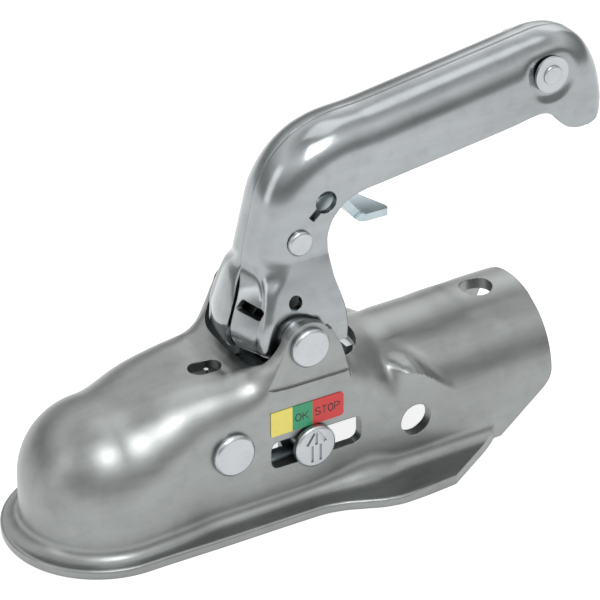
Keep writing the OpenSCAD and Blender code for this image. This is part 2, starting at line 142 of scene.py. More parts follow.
def lathe(name, prof, centre, axis="y", n=96):
    """Turns a profile [(radius, along)] round an axis through centre; closed where the radius is 0."""
    verts, faces = [], []
    for r, h in prof:
        for k in range(n):
            a = 2*math.pi*k/n
            c, s = r*math.cos(a), r*math.sin(a)
            p = {"y": (c, h, s), "z": (c, s, h), "x": (h, c, s)}[axis]
            verts.append(((p[0] + centre[0])*MM, (p[1] + centre[1])*MM, (p[2] + centre[2])*MM))
    m = len(prof)
    for i in range(m - 1):
        for k in range(n):
            faces.append([i*n + k, i*n + (k + 1) % n, (i + 1)*n + (k + 1) % n, (i + 1)*n + k])
    if prof[0] == prof[-1]:
        pass
    o = obj_from(name, verts, faces)
    clean(o, 1e-7)
    return o


def fillet_profile(pts, radii, seg=5):
    """Rounds the corners of an open polyline of (radius, along) points."""
    out = [pts[0]]
    for i in range(1, len(pts) - 1):
        p0, p1, p2 = map(np.array, (pts[i - 1], pts[i], pts[i + 1]))
        r = radii[i]
        if r <= 0:
            out.append(tuple(p1)); continue
        a, b = p0 - p1, p2 - p1
        la, lb = np.linalg.norm(a), np.linalg.norm(b)
        r = min(r, la*0.49, lb*0.49)
        q0, q2 = p1 + a/la*r, p1 + b/lb*r
        for k in range(seg + 1):
            t = k/seg
            out.append(tuple((1 - t)**2*q0 + 2*t*(1 - t)*p1 + t*t*q2))
    out.append(pts[-1])
    return out


def tube(name, path, r, n=12):
    path = np.array(path, float)
    N = len(path)
    tang = np.array([path[min(i + 1, N - 1)] - path[max(i - 1, 0)] for i in range(N)])
    tang /= np.linalg.norm(tang, axis=1)[:, None]
    ref = np.array([0.3, 0.2, 0.93])
    s = np.cross(tang[0], ref); s /= np.linalg.norm(s)
    verts, faces = [], []
    for i in range(N):
        s = s - s.dot(tang[i])*tang[i]; s /= np.linalg.norm(s)
        b = np.cross(tang[i], s)
        for k in range(n):
            a = 2*math.pi*k/n
            verts.append((path[i] + r*(math.cos(a)*s + math.sin(a)*b))*MM)
    for i in range(N - 1):
        for k in range(n):
            faces.append([i*n + k, (i + 1)*n + k, (i + 1)*n + (k + 1) % n, i*n + (k + 1) % n])
    faces.append(list(range(n)))
    faces.append([(N - 1)*n + k for k in range(n - 1, -1, -1)])
    o = obj_from(name, verts, faces)
    clean(o, 1e-8)
    shade(o, 60)
    return o


def pchip(tab):
    """Monotone cubic interpolation of a table of (x, value)."""
    x = np.array([p[0] for p in tab], float)
    y = np.array([p[1] for p in tab], float)
    h = np.diff(x); d = np.diff(y)/h
    mm = np.zeros_like(y)
    for i in range(1, len(x) - 1):
        if d[i - 1]*d[i] > 0:
            w1, w2 = 2*h[i] + h[i - 1], h[i] + 2*h[i - 1]
            mm[i] = (w1 + w2)/(w1/d[i - 1] + w2/d[i])
    def f(q):
        q = min(max(q, x[0]), x[-1])
        i = min(max(int(np.searchsorted(x, q)) - 1, 0), len(x) - 2)
        t = (q - x[i])/h[i]
        return ((1 + 2*t)*(1 - t)**2*y[i] + t*(1 - t)**2*h[i]*mm[i] + t*t*(3 - 2*t)*y[i + 1] + t*t*(t - 1)*h[i]*mm[i + 1])
    return f


def smooth(a, b, x):
    t = min(max((x - a)/(b - a), 0.0), 1.0)
    return t*t*(3 - 2*t)

# ------------------------------------------------------------------ housing
RIM, SHEET, REAR, SOCK = 21.5, 4.0, 180.4, 25.05
W = pchip([(-6, 30.6), (0, 30.6), (10, 30.3), (22, 29.4), (30, 28.4), (96, 28.4), (119, 29), (REAR, 29)])
T = pchip([(-6, 30.6), (0, 30.6), (5, 31.0), (10, 32.2), (16, 33.8), (22, 35), (28, 35.8), (36, 36.2), (44, 36.3), (48, 36.6), (51, 37.3), (54, 38.7),
           (56, 40), (58, 41.9), (60, 44.1), (61, 45.2), (62, 46.5), (63.2, 48.3), (64.6, 51.5), (66, 66), 
           (81, 66), (82.6, 52), (84, 48.8), (85.6, 46), (86.8, 44), (88, 41.4), (89.5, 38.2), (91, 36.4), (95, 35.8), (99, 34.9), 
           (103, 33.4), (107, 31.7), (111, 30.3), (116, 29.3), (120, 29), (140, 29.1), (150, 29.7), (158, 30), (REAR, 30)])
RC = pchip([(-6, 30.1), (0, 30.1), (5, 29.0), (10, 26.8), (16, 24), (22, 21.6), (28, 19.4), (36, 17), (44, 15.4), (48, 14.4), (52, 13.4), (55, 12), (57, 10.5), (58.5, 9), (60, 7), (61.5, 5),
            (63, 3.4), (65, 2.6), (84, 2.6), (86.8, 4.2), (89.5, 9), (91, 13), (95, 15.5), (99, 18), (103, 21.5), 
           (107, 24.8), (111, 27), (116, 28.3), (120, 28.5), (REAR, 28.5)])
RF = pchip([(0, 5), (72, 5), (84, 6.5), (98, 9), (104, 8), (110, 6), (116, 5.5), (REAR, 5.5)])
F = pchip([(-6, 37.6), (0, 37.6), (30, 38.2), (72, 38.8), (80, 40.4), (88, 43.6), (96, 46.8), (104, 48.2), (126, 48.2), (REAR, 48.2)])
TH = pchip([(0, 5.05), (16, 4.9), (24, 4.6), (34, 4), (98, 4), (104, 4.5), (REAR, 4.5)])


def soften(f, sg=3.0, a=40.0, b=48.0):
    """Rounds the small steps of curvature of a table over the nose."""
    ds = np.linspace(-2.5*sg, 2.5*sg, 21)
    ws = np.exp(-(ds/sg)**2/2); ws /= ws.sum()
    def h(x):
        k = 1 - smooth(a, b, x)
        return f(x) if k == 0 else k*float(sum(w*f(x + d) for w, d in zip(ws, ds))) + (1 - k)*f(x)
    return h


W, T, RC = soften(W), soften(T), soften(RC, 3.6)


def section(x, NB=36, NW=26, NFL=8, NF=5):
    """Outer then inner points (y, z) of one section, from the centre line round the rim and back."""
    w, tp, rc, rf, f, t = W(x), T(x), RC(x), RF(x), F(x), TH(x)
    zf = -RIM + SHEET + rf
    def side(s):
        tt, tz = s*t, s*SHEET
        out = [(0.0, tp - tt)]
        ri = max(rc - tt, 0.4)
        for j in range(NB + 1):
            a = math.radians(90 - 90*j/NB)
            out.append((w - tt - ri + ri*math.cos(a), tp - tt - ri + ri*math.sin(a)))
        z0, z1 = tp - tt - ri, zf
        for j in range(1, NW):
            out.append((w - tt, z0 + (z1 - z0)*j/NW))
        for j in range(NFL + 1):
            a = math.radians(180 + 90*j/NFL)
            k = (1 + math.cos(2*a))/2
            out.append((w + rf + (rf + tz + (tt - tz)*k)*math.cos(a), zf + (rf + tz)*math.sin(a)))
        return out
    o, i = side(0), side(1)
    y0 = w + rf
    edge = 1.1
    o += [(y0 + (f - edge - y0)*j/NF, -RIM + SHEET) for j in range(1, NF + 1)]
    i += [(y0 + (f - edge - y0)*j/NF, -RIM) for j in range(1, NF + 1)]
    rim = [(f - edge + edge*math.sin(math.radians(a)), -RIM + SHEET - edge + edge*math.cos(math.radians(a))) for a in (22.5, 45, 67.5, 90)]
    rim += [(f - edge + edge*math.sin(math.radians(a)), -RIM + edge + edge*math.cos(math.radians(a))) for a in (90, 112.5, 135, 157.5)]
    return o + rim + i[::-1]


def line(pts, q):
    return float(np.interp(q, [p[0] for p in pts], [p[1] for p in pts]))


LEDGE = [(104, 24.6), (110, 24.4), (114.6, 23.6), (119, 22.6), (123, 20.4), (127, 17), (131, 13.2), (135, 9.4), (139, 5)]


def relief(x, y, z, s):
    """Pressed reliefs of the sheet: moves a surface point (s 0 outside, 1 inside), in mm."""
    ay, sg = abs(y), (1 if y >= 0 else -1)
    # flat pad round the cross hole, with a curved ledge where it meets the drawbar tube
    if 100 < x < 142 and z > -12 and ay > 12:
        ze = line(LEDGE, x)
        tgt = 28.75 - 4.4*s
        k = (1 - smooth(ze - 2.2, ze + 1.4, z))*smooth(108, 117, x)*(1 - smooth(134, 141, x))
        if ay < tgt:
            ay += (tgt - ay)*k
        # shallow trough above the ledge
        d = z - ze - 2.6
        ay -= 0.45*math.exp(-(d/2.0)**2)*smooth(112, 120, x)*(1 - smooth(128, 138, x))
    # the roof stays level between the ears' roots
    if 44 < x < 60 and z > 24:
        z -= (T(x) - 36.3)*(1 - smooth(12, 23, ay))*smooth(24, 30, z)
    # raised lip along the front of the lever opening, and the small dents beside the slot
    if 36 < x < 60 and z > 24:
        xr = line([(0, 50.6), (4, 50.4), (10, 48.6), (16, 45.6), (22, 42.4), (26, 40)], ay)
        z += 0.5*smooth(-1.2, 1.2, x - xr)*(1 - smooth(15, 23, ay))
        z -= 0.55*math.exp(-((x - 46.6)/2.6)**2 - ((y - 11.5)/3.2)**2)
        z -= 0.45*math.exp(-((x - 46.6)/2.6)**2 - ((y + 11.5)/3.2)**2)
        z -= 0.9*math.exp(-((x - 43)/3.4)**2 - ((y + 0.6)/2.6)**2)
    # dents on the tube's shoulder near the rear end
    if x > 145 and z > 10:
        d = math.hypot((x - 158)/5.5, (z - 23.2)/2.8)
        k = 0.55*math.exp(-d*d)
        ay -= k*0.7; z -= k*0.7
        z += 0.35*smooth(150, 154, x)*(1 - smooth(11, 14, ay))
    # hollow of the flange beside the drawbar
    if 95 < x < 125 and z < -10 and ay > 28 and s == 0:
        d = math.hypot((x - 106)/4.5, (ay - 34)/2.6)
        z -= 0.5*math.exp(-d*d)
    return x, sg*ay, z


xs = sorted(set([round(v, 3) for v in list(np.arange(0, 34, 2.0)) + list(np.arange(34, 56, 1.0)) + list(np.arange(56, 68, 0.5)) + list(np.arange(68, 80, 2.0)) + list(np.arange(80, 92, 0.5)) + list(np.arange(92, 108, 1.0)) + list(np.arange(108, 142, 0.75)) + list(np.arange(142, REAR, 1.5)) + [REAR]]), reverse=True)
NA = 56
stations = [("L", x) for x in xs] + [("N", 270 - 180*k/NA) for k in range(1, NA)] + [("R", x) for x in reversed(xs)]
verts, npf = [], None
sec0 = section(0.0)
cache = {x: section(x) for x in xs}
for kind, v in stations:
    s = sec0 if kind == "N" else cache[v]
    npf = len(s)
    for (y, z) in s:
        if kind == "N":
            a = math.radians(v)
            verts.append((y*math.cos(a)*MM, y*math.sin(a)*MM, z*MM))
        else:
            px, py, pz = relief(v, -y if kind == "L" else y, z, 0 if len(verts) % npf < npf//2 else 1)
            verts.append((px*MM, py*MM, pz*MM))
faces = []
for u in range(len(stations) - 1):
    for j in range(npf - 1):
        a = u*npf + j
        faces.append([a, a + npf, a + npf + 1, a + 1])
NU = len(stations)
endl = [j for j in range(npf)]
endr = [(NU - 1)*npf + j for j in range(npf)]
# rear end face: quads between the outer and the inner profile
for base, flip in ((0, False), ((NU - 1)*npf, True)):
    for j in range(npf//2):
        q = [base + j, base + j + 1, base + npf - 2 - j, base + npf - 1 - j]
        faces.append(q if not flip else q[::-1])
housing = obj_from("housing_shell", verts, faces)
clean(housing, 1e-7)

EAR_O, EAR_I = 27.6, 23.6
PX, PZ = 73.0, 45.8


def round_poly(pts, radii, seg=6):
    """Rounds a closed polygon's corners with circular-looking arcs."""
    out, n = [], len(pts)
    for i in range(n):
        p0, p1, p2 = (np.array(pts[(i + k) % n], float) for k in (-1, 0, 1))
        r = radii[i] if not np.isscalar(radii) else radii
        a, b = p0 - p1, p2 - p1
        la, lb = np.linalg.norm(a), np.linalg.norm(b)
        r = min(r, 0.49*la, 0.49*lb)
        if r <= 0.01:
            out.append(tuple(p1)); continue
        q0, q2 = p1 + a/la*r, p1 + b/lb*r
        for k in range(seg + 1):
            t = k/seg
            out.append(tuple((1 - t)**2*q0 + 2*t*(1 - t)*p1 + t*t*q2))
    return out


half = [(54.2, 12), (54.6, 15.5), (55.5, 18.8), (57.2, 21.6), (60.4, 23.6), (88.5, 23.6), (92.8, 22.2), (96.6, 20.2), (100, 16.6), (102.6, 11.6), (104.2, 6), (104.6, 0)]
opening = round_poly([(x, -y) for x, y in half] + half[-2::-1], 3.0, 4)
boolean(housing, [prism("c", opening, "z", 24, 80)])
# round tops of the ears
top = [(58, 90), (58, PZ + 4.6)] + circle(PX, PZ, 9.8, 48, 152, 28) + [(88, PZ + 4.6), (88, 90)]
boolean(housing, [prism("c", top, "y", -60, 60)])
step = [(55.5, 32.2), (58, 31.6), (64, 31.1), (88, 30.8), (92, 31.6), (92, 80), (55.5, 80)]
boolean(housing, [prism("c", step, "y", s*27.5, s*60) for s in (1, -1)])
cuts = [
    prism("c", circle(0, 0, SOCK, 128), "x", 103, 190),
    prism("c", circle(118.8, 0, 6.5, 64), "y", -60, 60),
    prism("c", circle(163.8, 0, 6.5, 64), "z", 15, 45),
    prism("c", circle(40, 10.9, 6.02, 48), "y", -60, 60),
    prism("c", circle(PX, PZ, 6.02, 48), "y", -60, 60),
    prism("c", round_poly([(56.2, -1.7), (95.1, -1.7), (95.1, 9.8), (56.2, 9.8)], 3.9, 8), "y", -60, 60),
    prism("c", [(px, py - 6.2) for px, py in slot_poly(34.6, 47.6, 0, 4.6)], "z", 20, 50),
    prism("c", [(186, -40), (186, 3), (REAR, 2.5), (REAR - 0.3, 0.6), (REAR - 0.9, -1.1), (REAR - 1.9, -2.6), (REAR - 3.4, -4.2), (REAR - 5.4, -5.9), (155.9, -21.3), (152, -24.4), (152, -40)], "y", -60, 60),
]
for s in (1, -1):
    cuts.append(prism("c", [(126, s*46.4), (127, s*60), (200, s*60), (200, s*29.1), (154.5, s*29.1)], "z", -30, -6))
    cuts.append(prism("c", [(103, s*48.3), (126, s*46.4), (127, s*60), (103, s*60)], "z", -30, -16))
boolean(housing, cuts)
shade(housing, 30)
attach(housing, "housing")
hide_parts("housing")

# ------------------------------------------------------------------ lever halves
FORK, GRIP, LT = 20.5, 15.0, 2.5
LEV = np.array([
    [56.5, 40.6,  94,   39.5, 4,    FORK, 9.4],
    [53.6, 42.6,  94.1, 42,   4,    FORK, 8.4],
    [52,   45.6,  94.2, 45,   4,    FORK, 7.5],
    [51.6, 49.4,  93.8, 49,   4,    FORK, 7],
    [52.8, 54,    92.9, 54,   4,    FORK, 6.6],
    [54.8, 60,    91.4, 60,   4,    19.2, 6.2],
    [57.2, 65,    90.1, 65,   4.6,  17.9, 4.4],
    [60.2, 69.2,  89.4, 70,   8,    16.6, 0],
    [61, 76,      89,   75.5, 12.4, GRIP, 0],
    [62.2, 82,    88.9, 81,   13,   GRIP, 0],
    [63.6, 88.2,  90.2, 85.4, 13.2, GRIP, 0],
    [67.1, 101.3, 93,   89.6, 13.8, GRIP, 0],
    [74,   111.9, 96.2, 92.7, 14.4, GRIP, 0],
    [84.2, 119.4, 99.8, 94.5, 14.4, GRIP, 0],
    [92,   122,   103.4, 95.5, 14.2, GRIP, 0],
    [110.3, 123.9, 113, 96.7, 14,   GRIP, 0],
    [138.2, 127.7, 141, 100.2, 14,  GRIP, 0],
    [165,  131.4, 168,  103.7, 14,  GRIP, 0],
    [180,  133.5, 182,  105.7, 14,  GRIP, 0],
    [189.4, 134.4, 186.3, 104.2, 14, GRIP, 0],
    [197.5, 133, 189,   101.4, 14,  GRIP, 0],
    [204.6, 128.6, 191.4, 99.1, 13, GRIP, 0],
    [209,  121.4, 193.6, 97.4, 12,  GRIP, 0],
    [211.1, 112.4, 196, 96.3, 10,   GRIP, 0],
    [211.4, 104.4, 198.8, 95.7, 8,  GRIP, 0],
    [208.9, 98.4, 202.6, 95.9, 4.2, GRIP, 0]])
# resample the rows along a smooth curve, even in arc length
par = np.concatenate([[0], np.cumsum(np.maximum(np.linalg.norm(np.diff(LEV[:, 0:2], axis=0), axis=1), np.linalg.norm(np.diff(LEV[:, 2:4], axis=0), axis=1)))])
fn = [pchip(list(zip(par, LEV[:, k]))) for k in range(7)]
def spline(col):
    """Catmull-Rom on the row parameter for the outline columns."""
    y = LEV[:, col]; n = len(y)
    def g(q):
        i = min(max(int(np.searchsorted(par, q)) - 1, 0), n - 2)
        h = par[i + 1] - par[i]; t = (q - par[i])/h
        def sl(k):
            if k == 0: return (y[1] - y[0])/(par[1] - par[0])
            if k == n - 1: return (y[-1] - y[-2])/(par[-1] - par[-2])
            h0, h1 = par[k] - par[k - 1], par[k + 1] - par[k]
            return ((y[k] - y[k - 1])/h0*h1 + (y[k + 1] - y[k])/h1*h0)/(h0 + h1)
        return (1 + 2*t)*(1 - t)**2*y[i] + t*(1 - t)**2*h*sl(i) + t*t*(3 - 2*t)*y[i + 1] + t*t*(t - 1)*h*sl(i + 1)
    return g
out_fn = [spline(k) for k in range(4)]
rows = []
qs = []
for i in range(len(par) - 1):
    n = max(2, int(round((par[i + 1] - par[i])/1.6)))
    qs += [par[i] + (par[i + 1] - par[i])*k/n for k in range(n)]
qs.append(par[-1])
for q in qs:
    rows.append([out_fn[0](q), out_fn[1](q), out_fn[2](q), out_fn[3](q)] + [fn[4](q), float(np.interp(q, par, LEV[:, 5])), fn[6](q)])


# setback of the front corner behind the seam edge, by the height of the row
SKEW = pchip([(40, 2.6), (44, 4.6), (54, 6.0), (60, 5.6), (65, 4.4), (69.2, 2.2), (76, 0), (240, 0)])


def lever_half(name, is_far=False):
    NK, NC, NM = 12, 22, 6
    verts = []
    npl = None
    for (ox, oz, ix_, iz, r, hw, gap) in rows:
        if is_far and oz < 69.6 and ox < 80:
            low = 1 - smooth(40.6, 46, oz)
            ox += 0.3*low; oz -= 4.4*low
            gap = float(np.interp(oz, [36.2, 44, 49, 54, 60, 65, 69.6], [1, -1.5, -4.5, -4.6, -4.2, -2.2, 0]))
        O, I = np.array([ox, oz]), np.array([ix_, iz])
        L = np.linalg.norm(I - O); d = (I - O)/L
        sk = SKEW(oz) if ox < 80 else 0.0
        ring = []
        def side(s):
            t = s*LT
            rr = max(r - t, 0.4)
            h = hw - t
            pts = []
            base = 0.0 if s == 0 else t
            # seam edge, slightly rounded outside
            a0 = math.asin(min(max((gap + 0.7 - (h - rr))/rr, 0.0), 0.9))
            d0 = r - rr*math.cos(a0)
            if s == 0:
                pts += [(d0 + 0.45, -gap), (d0 + 0.12, -gap - 0.22), (d0, -gap - 0.6)]
            else:
                pts += [(d0, -gap), (d0, -gap - 0.22), (d0, -gap - 0.6)]
            y0, y1 = gap + 0.6, max(h - rr, gap + 0.7)
            pts += [(d0 + sk*(j/(NM + 1))**(2.2 if is_far else 1.1), -(y0 + (y1 - y0)*j/(NM + 1))) for j in range(1, NM + 1)]
            for j in range(NK + 1):
                a = a0 + (math.pi/2 - a0)*j/NK
                pts.append((sk + r - rr*math.cos(a), -(h - rr) - rr*math.sin(a)))
            dep0 = r + sk
            for j in range(1, NC + 1):
                dd = dep0 + (L - dep0)*j/NC
                if s == 0 and j == NC:
                    pts.append((L - 0.5, -h)); pts.append((L, -h + 0.5))
                elif s == 1 and j == NC:
                    pts.append((L - 0.5, -h)); pts.append((L, -h - 0.5))
                else:
                    pts.append((dd if dd < L - 0.6 else L - 0.6, -h))
            return pts
        o, i = side(0), side(1)
        pts = o + i[::-1]
        npl = len(pts)
        for dep, y in pts:
            p = O + d*dep
            verts.append([p[0], y, p[1]])
    verts = np.array(verts)
    # dished pocket round the tip rivet
    for q, v in enumerate(verts):
        base = v[1] - (0 if q % npl < npl//2 else LT)
        if base < -GRIP + 4:
            rr = math.hypot(v[0] - 186, v[2] - 121)
            v[1] += 1.6*(1 - smooth(8.0, 12.4, rr))*(1 - smooth(-GRIP + 0.4, -GRIP + 4, base))
    NR = len(rows)
    faces = []
    for i in range(NR - 1):
        for j in range(npl):
            a, b = i*npl + j, i*npl + (j + 1) % npl
            faces.append([a, b, b + npl, a + npl])
    half = npl//2
    for base, flip in ((0, True), ((NR - 1)*npl, False)):
        for j in range(half - 1):
            q = [base + j, base + j + 1, base + npl - 2 - j, base + npl - 1 - j]
            faces.append(q[::-1] if flip else q)
    o = obj_from(name, verts*MM, faces)
    clean(o, 1e-7)
    return o


def finish_half(o, s):
    """Foot of the cheek and the holes; s = -1 near half, 1 far half."""
    y0, y1 = sorted((s*FORK, s*(FORK - LT)))
    foot = [(63, 42)] + circle(PX, PZ, 17, 48, 234, 347) + [(89.5, 42)]
    boolean(o, [prism("c", foot, "y", y0, y1)], "UNION")
    a, b = sorted((0.0 if s < 0 else 0.0, s*40.0))
    cuts = [prism("c", circle(PX, PZ, 6.06, 48), "y", a, b),
            prism("c", circle(76.6, 82, 4.05, 40), "y", a, b),
            prism("c", circle(186, 121, 3.3, 32), "y", a, b),
            prism("c", circle(88, 95.4, 4.4, 40), "y", a, b),
            prism("c", circle(72.4, 60, 2.8, 32), "y", a, b)]
    dx, dz = np.array([-5.9, -5.1])/math.hypot(5.9, 5.1)
    nx, nz = -dz, dx
    w = 1.5
    k0, k1 = np.array([88, 95.4]), np.array([88, 95.4]) + np.array([dx, dz])*8.4
    cuts.append(prism("c", [tuple(k0 + np.array([nx, nz])*w), tuple(k1 + np.array([nx, nz])*w), tuple(k1 - np.array([nx, nz])*w), tuple(k0 - np.array([nx, nz])*w)], "y", a, b))
    if s < 0:
        d = prism("c", round_poly([(-4.7, -2.1), (4.7, -2.1), (4.7, 2.1), (-4.7, 2.1)], 0.9, 5), "x", 50, 66)
        d.data.transform(Matrix.Translation((0, -12.2*MM, 58*MM)) @ Matrix.Rotation(math.radians(16), 4, "X"))
        cuts.append(d)
    boolean(o, cuts)
    shade(o, 30)


near = lever_half("handle_half_near")
far = lever_half("handle_half_far", True)
far.data.transform(Matrix.Scale(-1, 4, (0, 1, 0)))
clean(far, 1e-8)
finish_half(near, -1)
finish_half(far, 1)
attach(near, "handle"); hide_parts("lever_left")
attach(far, "handle"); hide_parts("lever_right")

# ------------------------------------------------------------------ pins and rivets
def pin(name, pts, radii, centre, body, node, n=96):
    o = lathe(name, fillet_profile(pts, radii), centre, "y", n)
    shade(o, 28)
    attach(o, body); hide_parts(node)
    return o

pin("pivot_pin_turned", [(0, -29.9), (7.0, -29.9), (7.8, -29.1), (7.8, -27.5), (6, -27.5), (6, 29.1), (0, 29.1)],
    [0, 0.3, 0.3, 0.2, 0, 1.2, 0], (PX, 0, PZ), "housing", "pivot_pin")
pin("jaw_pin_turned", [(0, -31), (7.4, -31), (8.5, -30), (8.5, -28.42), (6, -28.42), (6, 31.6), (0, 31.6)],
    [0, 0.3, 0.4, 0.2, 0, 1.2, 0], (40, 0, 10.9), "housing", "jaw_pin")
pin("lever_rivet_turned", [(0, -16.9), (4.2, -16.9), (5, -16.2), (5, -15), (4, -15), (4, 15), (5, 15), (5, 16.2), (4.2, 16.9), (0, 16.9)],
    [0, 0.5, 0.4, 0, 0, 0, 0, 0.4, 0.5, 0], (76.6, 0, 82), "handle", "lever_rivet")
pin("tip_rivet_turned", [(0, -15.6), (3.4, -15.6), (3.9, -15.2), (3.9, -14.8), (3.25, -14.8), (3.25, 14.8), (3.9, 14.8), (3.9, 15.2), (3.4, 15.6), (0, 15.6)],
    [0, 0.3, 0.3, 0, 0, 0, 0, 0.3, 0.3, 0], (186, 0, 121), "handle", "tip_rivet")

ind = lathe("indicator_pin_turned", fillet_profile([(0, -31.6), (7.7, -31.6), (8.5, -30.9), (8.5, -29.1), (5, -29.1), (5, 31.5), (0, 31.5)],
            [0, 0.3, 0.3, 0.2, 0, 1.0, 0]), (73.6, 0, 4.3), "y", 96)
IX, IZ = 73.6, 4.3
arrow = [(-0.5, 1.2), (0.5, 1.2), (0.5, 5.9), (3.5, 1.4), (4.4, 2.0), (0.4, 7.6), (-0.4, 7.6), (-4.4, 2.0), (-3.5, 1.4), (-0.5, 5.9)]
boolean(ind, [prism("c", [(IX + p[0], IZ + p[1]) for p in arrow], "y", -33, -31.05),
              prism("c", [(IX - 2.2, IZ - 6), (IX - 1.3, IZ - 6), (IX - 1.3, IZ + 0.9), (IX - 2.2, IZ + 0.9)], "y", -33, -31.05),
              prism("c", [(IX + 1.3, IZ - 6), (IX + 2.2, IZ - 6), (IX + 2.2, IZ + 0.9), (IX + 1.3, IZ + 0.9)], "y", -33, -31.05)])
shade(ind, 28)
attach(ind, "slide"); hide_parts("indicator_pin")

# ------------------------------------------------------------------ position label
LX0, LX1, LZ0, LZ1 = 56.0, 87.0, 12.7, 22.9
lp = [(LX0, LZ0), (LX1 - 1.6, LZ0)] + circle(LX1 - 1.6, LZ0 + 1.6, 1.6, 8, -90, 0)[1:] + circle(LX1 - 1.6, LZ1 - 1.6, 1.6, 8, 0, 90) + [(LX0, LZ1)]
film = prism("label_film_sheet", lp, "y", -28.75, -28.38)
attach(film, "housing"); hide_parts("position_label")


def letter(ch, x, z, h, w):
    """Polyline strokes of a letter in a box of width w and height h."""
    t = math.radians
    if ch == "O":
        return [[(x + w/2 + w/2*math.cos(t(a)), z + h/2 + h/2*math.sin(t(a))) for a in range(0, 361, 24)]]
    if ch == "K":
        return [[(x, z), (x, z + h)], [(x + w, z + h), (x, z + h*0.42)], [(x + w*0.3, z + h*0.6), (x + w, z)]]
    if ch == "T":
        return [[(x, z + h), (x + w, z + h)], [(x + w/2, z), (x + w/2, z + h)]]
    if ch == "P":
        return [[(x, z), (x, z + h), (x + w*0.6, z + h), (x + w, z + h*0.88), (x + w, z + h*0.62), (x + w*0.6, z + h*0.48), (x, z + h*0.48)]]
    if ch == "S":
        return [[(x + w, z + h*0.84), (x + w*0.75, z + h), (x + w*0.25, z + h), (x, z + h*0.85), (x, z + h*0.66), (x + w*0.25, z + h*0.53),
                 (x + w*0.75, z + h*0.47), (x + w, z + h*0.34), (x + w, z + h*0.15), (x + w*0.75, z), (x + w*0.25, z), (x, z + h*0.16)]]


lv, lf = [], []
for word, x0, w, step_ in (("OK", 66.4, 2.3, 3.1), ("STOP", 74.9, 2.0, 2.75)):
    for k, ch in enumerate(word):
        for line_ in letter(ch, x0 + k*step_, (LZ0 + LZ1)/2 - 1.5, 3.0, w):
            for (ax, az), (bx, bz) in zip(line_[:-1], line_[1:]):
                L = math.hypot(bx - ax, bz - az)
                ux, uz = (bx - ax)/L, (bz - az)/L
                e, hw_ = 0.14, 0.2
                c4 = [(ax - ux*e - uz*hw_, az - uz*e + ux*hw_), (ax - ux*e + uz*hw_, az - uz*e - ux*hw_),
                      (bx + ux*e + uz*hw_, bz + uz*e - ux*hw_), (bx + ux*e - uz*hw_, bz + uz*e + ux*hw_)]
                n0 = len(lv)
                lv += [(px*MM, (-28.75 + 0.01)*MM, pz*MM) for px, pz in c4] + [(px*MM, (-28.75 - 0.03)*MM, pz*MM) for px, pz in c4]
                lf += [[n0, n0 + 1, n0 + 2, n0 + 3], [n0 + 7, n0 + 6, n0 + 5, n0 + 4]] + [[n0 + i, n0 + 4 + i, n0 + 4 + (i + 1) % 4, n0 + (i + 1) % 4] for i in range(4)]
ink = obj_from("label_print", lv, lf)
bm = bmesh.new(); bm.from_mesh(ink.data)
bmesh.ops.recalc_face_normals(bm, faces=bm.faces)
bm.to_mesh(ink.data); bm.free()
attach(ink, "housing")

# ------------------------------------------------------------------ springs
p = [[41.4, -7, 35.6], [41.4, -7, 33.6], [41.5, -7.3, 30], [41.8, -8.8, 28.4], [43, -12, 27.4], [46, -18, 26], [49, -21.6, 23.6], [49.8, -22.4, 19]]
p += [[40 + 10*math.cos(math.radians(28 - 360*1.4*i/60)), -22.6 + 1.2*i/60, 10.9 + 10*math.sin(math.radians(28 - 360*1.4*i/60))] for i in range(61)]
o = tube("jaw_spring_wire", p, 0.9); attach(o, "housing"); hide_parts("jaw_spring")
p = [[89.5, -6.4, 90.3], [84, -6.4, 88.9]]
p += [[76.6 + 7.4*math.cos(math.radians(70 + 360*3.05*i/110)), -6.4 + 6.2*i/110, 82 + 7.4*math.sin(math.radians(70 + 360*3.05*i/110))] for i in range(111)]
p += [[70, -0.2, 97]]
o = tube("catch_spring_wire", p, 0.7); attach(o, "handle"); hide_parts("catch_spring")
p = [[84.2 + 1 + 12*i/200, 6*math.cos(2*math.pi*5*i/200), 15 + 6*math.sin(2*math.pi*5*i/200)] for i in range(201)]
o = tube("pressure_spring_wire", p, 0.95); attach(o, "housing"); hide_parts("pressure_spring")

# ------------------------------------------------------------------ materials
def mat(name):
    m = bpy.data.materials.new(name)
    m.use_nodes = True
    nt = m.node_tree
    for n in list(nt.nodes):
        nt.nodes.remove(n)
    out = nt.nodes.new("ShaderNodeOutputMaterial")
    b = nt.nodes.new("ShaderNodeBsdfPrincipled")
    nt.links.new(b.outputs[0], out.inputs[0])
    tc = nt.nodes.new("ShaderNodeTexCoord")
    return m, nt, b, tc


def noise(nt, tc, scale, detail=3, rough=0.5, stretch=None):
    n = nt.nodes.new("ShaderNodeTexNoise")
    n.inputs["Scale"].default_value = scale
    n.inputs["Detail"].default_value = detail
    n.inputs["Roughness"].default_value = rough
    if stretch:
        mp = nt.nodes.new("ShaderNodeMapping")
        mp.inputs["Scale"].default_value = stretch
        nt.links.new(tc.outputs["Object"], mp.inputs[0])
        nt.links.new(mp.outputs[0], n.inputs["Vector"])
    else:
        nt.links.new(tc.outputs["Object"], n.inputs["Vector"])
    return n.outputs[0]


def ramp(nt, src, stops):
    r = nt.nodes.new("ShaderNodeValToRGB")
    r.color_ramp.elements[0].position, r.color_ramp.elements[0].color = stops[0][0], stops[0][1]
    r.color_ramp.elements[1].position, r.color_ramp.elements[1].color = stops[-1][0], stops[-1][1]
    for pos, c in stops[1:-1]:
        e = r.color_ramp.elements.new(pos); e.color = c
    nt.links.new(src, r.inputs[0])
    return r.outputs[0]


